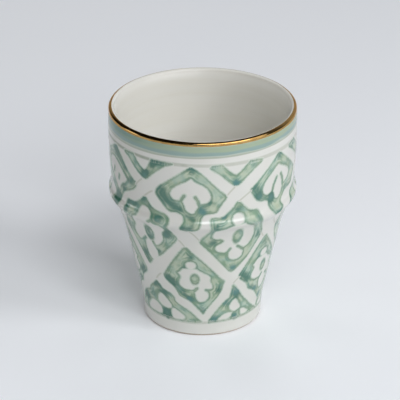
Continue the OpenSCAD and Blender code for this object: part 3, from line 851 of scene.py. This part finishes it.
class PanelShape:
    # one panel laid flat in mm, as the hand drew it this time
    def __init__(self, panel, mirrored, unsteady, seed):
        self.dice = np.random.default_rng(seed)
        self.unsteady = unsteady
        self.perDegree = mmPerDegree(panel["middle"][1]) * (-1 if mirrored else 1)
        self.outline = loopThrough(self.drawn(panel["outline"]))
        self.whites = [loopThrough(self.drawn(white)) for white in panel["whites"]]
        self.ovals = [self.oval(oval) for oval in panel.get("ovals", [])]
        self.eyes = [self.oval(eye) for eye in panel.get("eyes", [])]
        self.strokes = [self.drawn(stroke) for stroke in panel.get("strokes", [])]
        self.pools, self.blues, self.pales = [
            [self.spot(spot) for spot in panel[kind]] for kind in ("pools", "blues", "pales")]
        self.phases = self.dice.uniform(0, math.tau, 3)

    def drawn(self, points):
        flat = np.array(points, float) * [self.perDegree, 1]
        return flat + self.dice.uniform(-1, 1, flat.shape) * self.unsteady

    def oval(self, oval):
        x, z = self.drawn([oval[:2]])[0]
        return x, z, oval[2] * abs(self.perDegree), oval[3]

    def spot(self, spot):
        x, z = self.drawn([spot[:2]])[0]
        return x, z, spot[2], spot[3] * self.dice.uniform(1 - self.unsteady, 1)

    def film(self, places):
        # mm inside the painted film
        depth = depthInside(places, self.outline)
        for white in self.whites:
            depth = np.minimum(depth, -depthInside(places, white))
        for oval in self.ovals:
            depth = np.minimum(depth, -depthInOval(places, oval))
        for eye in self.eyes:
            depth = np.maximum(depth, depthInOval(places, eye))
        for stroke in self.strokes:
            depth = np.maximum(depth, panelBrush["stroke"] / 2 - gapTo(places, stroke[:-1], stroke[1:]))
        across, up, ripple = panelBrush["ripple"]
        waves, shiver = panelBrush["shiver"]
        rippled = np.sin(places[:, 0] * across + self.phases[0]) * np.sin(places[:, 1] * up + self.phases[1])
        shivered = np.sin(places.sum(1) * waves + self.phases[2])
        return depth + panelBrush["grow"] + ripple * rippled + shiver * shivered

    def ontoEdge(self, places):
        # moves places near the edge of the film onto it
        probe = edgeFit["probe"]
        for attempt in range(edgeFit["tries"]):
            slope = np.column_stack([self.film(places + step) - self.film(places - step)
                                     for step in ([probe, 0], [0, probe])]) / (2 * probe)
            steep = np.maximum((slope ** 2).sum(1), edgeFit["leastSlope"])
            move = np.clip(self.film(places) / steep, -panelBrush["step"], panelBrush["step"])
            places = places - slope * move[:, None]
        return places


def paintPanel(bm, brush, panel, turn, mirrored, unsteady, seed):
    shape = PanelShape(panel, mirrored, unsteady, seed)
    low = shape.outline.min(0) - panelBrush["margin"]
    high = shape.outline.max(0) + panelBrush["margin"]
    span = high - low
    columns, rows = [int(length / panelBrush["step"]) for length in span]
    overPanel = Matrix.Translation((*(low + high) / 2, 0)) @ Matrix.Diagonal((*span / 2, 1, 1))
    corners, places = flatSheet(bm, columns, rows, overPanel)
    for corner, edge in zip(corners, shape.film(places)):
        corner[brush] = (edge, 0, 0)
    faces = {face for corner in corners for face in corner.link_faces}
    bare = [face for face in faces if sum(corner[brush].x for corner in face.verts) < 0]
    bmesh.ops.delete(bm, geom=bare, context="FACES")
    kept = [corner for corner in corners if corner.is_valid]
    places = np.array([corner.co[:2] for corner in kept])
    rim = np.array([corner.is_boundary for corner in kept])
    places[rim] = shape.ontoEdge(places[rim])
    edges = np.where(rim, 0, shape.film(places))
    pools = blots(places, shape.pools) - blots(places, shape.pales)
    blues = blots(places, shape.blues)
    turns = turn + places[:, 0] / abs(shape.perDegree)
    for corner, place, *stroke in zip(kept, onCup(turns, places[:, 1]), edges, pools, blues):
        corner.co = place
        corner[brush] = stroke


repeats = 6
repeatTurn = fullTurn / repeats
# Six panels of each row, from the one at the front to the right: which drawing, whether mirrored, degrees
# moved aside, how unsteady the hand was
palmetteRow = {"seed": 21, "panels": [
    (palmette, False, 0, 0), (palmetteRight, False, 0, 0), (palmette, True, 1, 0.3),
    (palmetteRight, True, -1, 0.3), (palmette, False, 1, 0.3), (palmetteLeft, False, 0, 0)]}
beltFlowerRow = {"seed": 31, "panels": [
    (beltFlower, False, 0, 0), (beltFlower, True, 0, 0.25), (beltFlowerLeft, False, 1, 0.3),
    (beltFlower, False, -1, 0.35), (beltFlowerLeft, True, 0, 0.3), (beltFlowerLeft, False, 0, 0)]}
lowerFlowerRow = {"seed": 41, "panels": [
    (lowerFlower, False, 0, 0), (lowerFlower, False, 3, 0.15), (lowerFlower, True, 0, 0.35),
    (lowerFlower, False, -1, 0.35), (lowerFlower, True, -6, 0.35), (lowerFlower, True, -10.5, 0.15)]}
footRow = {"seed": 51, "panels": [
    (footFlower, False, 0, 0), (footFlowerNarrow, True, -4, 0.3), (footFlowerNarrow, False, -3, 0.3),
    (footFlowerNarrow, True, -10, 0.3), (footFlowerNarrow, True, -14, 0.3), (footFlowerLeft, False, 0, 0)]}
triangleRow = {"seed": 61, "panels": [
    (topTriangle, False, 0, 0), (topTriangle, True, 0, 0.3), (topTriangle, False, 1, 0.3),
    (topTriangle, True, -1, 0.3), (topTriangle, False, 0, 0.3), (topTriangleLeft, False, 0, 0)]}


def buildPanels(name, row, node):
    bm, brush = newFilm()
    for count, (panel, mirrored, shift, unsteady) in enumerate(row["panels"]):
        turn = panel["middle"][0] + shift + repeatTurn * count
        paintPanel(bm, brush, panel, turn, mirrored, unsteady, row["seed"] + count)
    thickenFilm(bm, filmThickness)
    addPiece(bm, name, greenWash, "green_paint", node)


buildPanels("palmettePanels", palmetteRow, "palmette_panels")
buildPanels("beltFlowerPanels", beltFlowerRow, "belt_flower_panels")
buildPanels("lowerFlowerPanels", lowerFlowerRow, "lower_flower_panels")
buildPanels("footPanels", footRow, "foot_panels")
buildPanels("topTriangles", triangleRow, "top_triangles")

# Thin lines where one strap passes over another, from degrees and mm to degrees and mm. The last repeat has
# lines of its own.
strapLines = {
    "runs": [((14.5, 74.8), (20, 79.4)), ((22, 71.3), (31, 75.9)), ((-9, 58.3), (-1.5, 52.2)),
             ((-17, 52.2), (-12, 48.2)), ((25.5, 26.6), (31.5, 30.3))],
    "lastRuns": [((15, 75.2), (21.5, 79.8)), ((21.5, 71.3), (29, 75.5)), ((18, 27), (25.5, 31.5))],
    "width": 1.5, "leastWidth": 0.25, "taper": 3, "sway": 0.12, "swayWaves": 5, "rows": 4, "step": 0.42,
    "seed": 71, "unsteady": 0.4,
}


def buildStrapLines():
    bm, brush = newFilm()
    dice = np.random.default_rng(strapLines["seed"])
    half = strapLines["width"] / 2
    last = repeats - 1
    for count in range(repeats):
        for run in strapLines["lastRuns" if count == last else "runs"]:
            perDegree = mmPerDegree(run[0][1])
            ends = np.array(run, float) * [perDegree, 1]
            if 0 < count < last:
                ends = ends + dice.uniform(-1, 1, ends.shape) * strapLines["unsteady"]
            line = ends[1] - ends[0]
            length = math.hypot(*line)
            side = np.array([-line[1], line[0]]) / length
            corners, flat = flatSheet(bm, int(length / strapLines["step"]), strapLines["rows"])
            along = (flat[:, :1] + 1) / 2
            sway = np.sin(along * strapLines["swayWaves"] + count) * strapLines["sway"]
            narrow = np.clip(np.sin(along * math.pi) * strapLines["taper"], strapLines["leastWidth"], 1)
            places = ends[0] + along * line + (flat[:, 1:] * half * narrow + sway) * side
            edges = (1 - np.abs(flat[:, 1])) * half * narrow[:, 0]
            turns = repeatTurn * count + places[:, 0] / perDegree
            for corner, place, edge in zip(corners, onCup(turns, places[:, 1]), edges):
                corner.co = place
                corner[brush] = (edge, 0, 0)
    thickenFilm(bm, filmThickness)
    addPiece(bm, "strapLines", strapLine, "pale_paint")


buildStrapLines()

# Stage, light and camera, in m
stageLook = {
    "leftFront": (-0.5, -0.5, 0), "rightBack": (0.5, 1.2, 0), "cells": 8, "roughness": 0.9,
    "floor": (0.913, 0.924, 0.93, 1), "shade": (0.90, 0.915, 0.925, 1), "clouds": (3.0, 3.0),
    "cloudFade": (0.3, 0.7),
}


def buildStage():
    bm = bmesh.new()
    low, high = Vector(stageLook["leftFront"]), Vector(stageLook["rightBack"])
    half = (high - low) / 2
    overFloor = Matrix.Translation((low + high) / 2) @ Matrix.Diagonal((half.x, half.y, 1, 1))
    flatSheet(bm, stageLook["cells"], stageLook["cells"], overFloor)
    mesh = bpy.data.meshes.new("floor")
    bm.to_mesh(mesh)
    bm.free()
    floor = bpy.data.objects.new("floor", mesh)
    bpy.context.scene.collection.objects.link(floor)
    finish, tree, shader, place = newFinish("paperFloor")
    cloud = fade(tree, speckle(tree, place, *stageLook["clouds"]), *stageLook["cloudFade"])
    plug(tree, shader["Base Color"], mixColour(tree, cloud, stageLook["floor"], stageLook["shade"]))
    shader["Roughness"].default_value = stageLook["roughness"]
    shader["Specular IOR Level"].default_value = 0.0
    mesh.materials.append(finish)


# Lamps by degrees above the table, degrees right of the front and power
lampRig = {"middle": (0, 0, 0.04), "distance": 1.2, "size": (0.3, 0.3), "colour": (0.97, 0.985, 1.03)}
lamps = {
    "rightKey": (32, 65, 4.3),
    "middleKey": (32, 40, 1.65),
    "frontKey": (32, 15, 2.6),
    "highKey": (55, 25, 2.7),
    "highFront": (55, 0, 0.96),
    "sideKey": (32, 100, 0.53),
    "leftLow": (12, -90, 1.24),
    "leftBack": (32, -135, 1.33),
    "farBack": (32, 180, 1.04),
    "highBack": (55, 160, 0.8),
}
# Cards have sizes of their own and are only seen mirrored in the gold and the glaze
cards = {
    "windowCard": (24, 42, 11.0, (1.85, 1.4)),
    "shineCard": (33, 26, 5.2, (1.4, 0.3)),
    "leftCard": (-3, -90, 1.3, (0.42, 0.3)),
    "sideCard": (28, 108, 0.16, (0.9, 0.7)),
}


def addLamp(name, rise, turn, power, size):
    up, across = math.radians(rise), math.radians(turn)
    toLamp = Vector((math.cos(up) * math.sin(across), -math.cos(up) * math.cos(across), math.sin(up)))
    light = bpy.data.lights.new(name, "AREA")
    light.shape = "RECTANGLE"
    light.size, light.size_y = size
    light.energy = power
    light.color = lampRig["colour"]
    made = bpy.data.objects.new(name, light)
    made.location = Vector(lampRig["middle"]) + toLamp * lampRig["distance"]
    made.rotation_euler = (-toLamp).to_track_quat("-Z", "Y").to_euler()
    made.visible_glossy = name in cards
    made.visible_diffuse = name in lamps
    bpy.context.scene.collection.objects.link(made)


# The room gives an even light, and its mirror image is dark in front and pale at the back.
# A camera sees a plain pale wall.
roomLook = {
    "even": (0.15, 0.152, 0.157, 1), "wall": (0.7, 0.715, 0.73, 1),
    "dark": (0.006, 0.006, 0.006, 1), "pale": (0.5, 0.5, 0.51, 1), "towards": (0.25, 0.9, -0.1),
    "paleFade": (0.35, 0.9),
}


def buildRoom():
    world = bpy.data.worlds.new("studio")
    world.use_nodes = True
    tree = world.node_tree
    look = tree.nodes.new("ShaderNodeTexCoord").outputs["Generated"]
    along = addNode(tree, "VectorMath", {0: look, 1: roomLook["towards"]}, operation="DOT_PRODUCT")
    backdrop = fade(tree, along.outputs["Value"], *roomLook["paleFade"])
    mirrored = mixColour(tree, backdrop, roomLook["dark"], roomLook["pale"])
    rays = tree.nodes.new("ShaderNodeLightPath").outputs
    colour = mixColour(tree, rays["Is Glossy Ray"], roomLook["even"], mirrored)
    colour = mixColour(tree, rays["Is Camera Ray"], colour, roomLook["wall"])
    plug(tree, tree.nodes["Background"].inputs["Color"], colour)
    bpy.context.scene.world = world


cameraView = {"aim": (0, 0, 0.05), "distance": 0.972, "rise": 26.6, "lens": 198.96,
              "shift": (-0.0066, 0.0189)}


def buildCamera():
    rise = math.radians(cameraView["rise"])
    eye = bpy.data.cameras.new("camera")
    eye.lens = cameraView["lens"]
    eye.shift_x, eye.shift_y = cameraView["shift"]
    camera = bpy.data.objects.new("camera", eye)
    aim = Vector(cameraView["aim"])
    camera.location = aim + Vector((0, -math.cos(rise), math.sin(rise))) * cameraView["distance"]
    camera.rotation_euler = (aim - camera.location).to_track_quat("-Z", "Y").to_euler()
    bpy.context.scene.collection.objects.link(camera)
    bpy.context.scene.camera = camera


buildStage()
for name, lamp in lamps.items():
    addLamp(name, *lamp, lampRig["size"])
for name, card in cards.items():
    addLamp(name, *card)
buildRoom()
buildCamera()
bpy.context.scene.view_settings.view_transform = "Standard"
print("stage, lamps and camera placed")

bpy.context.view_layer.update()
